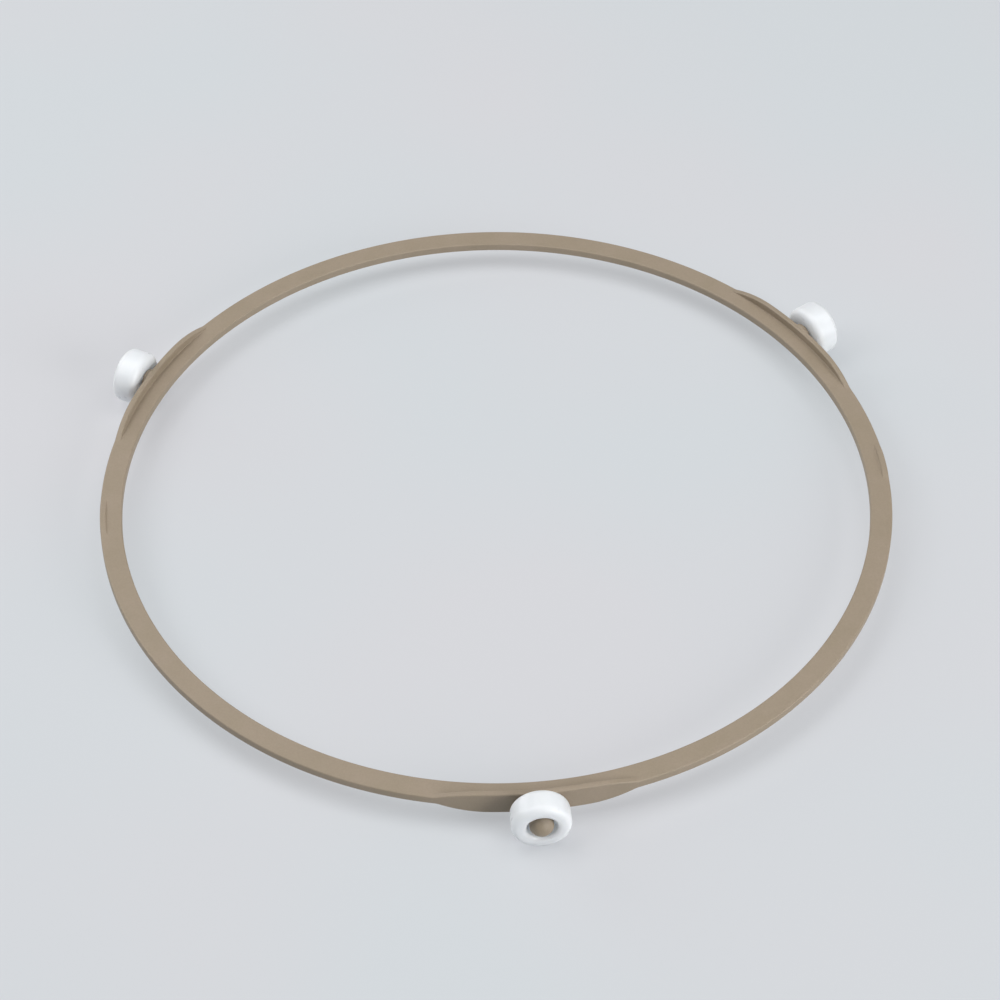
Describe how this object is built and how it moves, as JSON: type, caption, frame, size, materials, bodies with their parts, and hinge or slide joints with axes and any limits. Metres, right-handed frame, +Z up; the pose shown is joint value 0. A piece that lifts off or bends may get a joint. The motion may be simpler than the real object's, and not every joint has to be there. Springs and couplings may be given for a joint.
{
  "type": "microwave turntable roller ring",
  "caption": "Thin moulded ring whose low walls carry small grooveless wheels on outward pins; it rolls on the oven floor and carries the turning glass plate.",
  "frame": {"origin": "on the ring's axis, at the level of the floor that the wheels stand on", "axes": "+Z up along the ring's axis; -Y towards the front wheel, which is the nearest one in the picture; +X to the right as seen from the front wheel"},
  "size_m": [0.204, 0.2133, 0.0144],
  "materials": {
    "ring_plastic": "tan heat-resistant plastic, fine matt moulded surface",
    "wheel_plastic": "white low-friction plastic, smooth with a soft sheen"
  },
  "bodies": {
    "ring": {"roller_ring": "ring_plastic"},
    "front_wheel": {"wheel_front": "wheel_plastic"},
    "right_wheel": {"wheel_right": "wheel_plastic"},
    "left_wheel": {"wheel_left": "wheel_plastic"}
  },
  "joints": [
    {"name": "front_wheel_spin", "type": "hinge", "parent": "ring", "child": "front_wheel", "pos_m": [0, -0.1066, 0.0072], "axis": [0, -1, 0], "continuous": true},
    {"name": "right_wheel_spin", "type": "hinge", "parent": "ring", "child": "right_wheel", "pos_m": [0.09232, 0.0533, 0.0072], "axis": [0.866, 0.5, 0], "continuous": true},
    {"name": "left_wheel_spin", "type": "hinge", "parent": "ring", "child": "left_wheel", "pos_m": [-0.09232, 0.0533, 0.0072], "axis": [-0.866, 0.5, 0], "continuous": true}
  ]
}
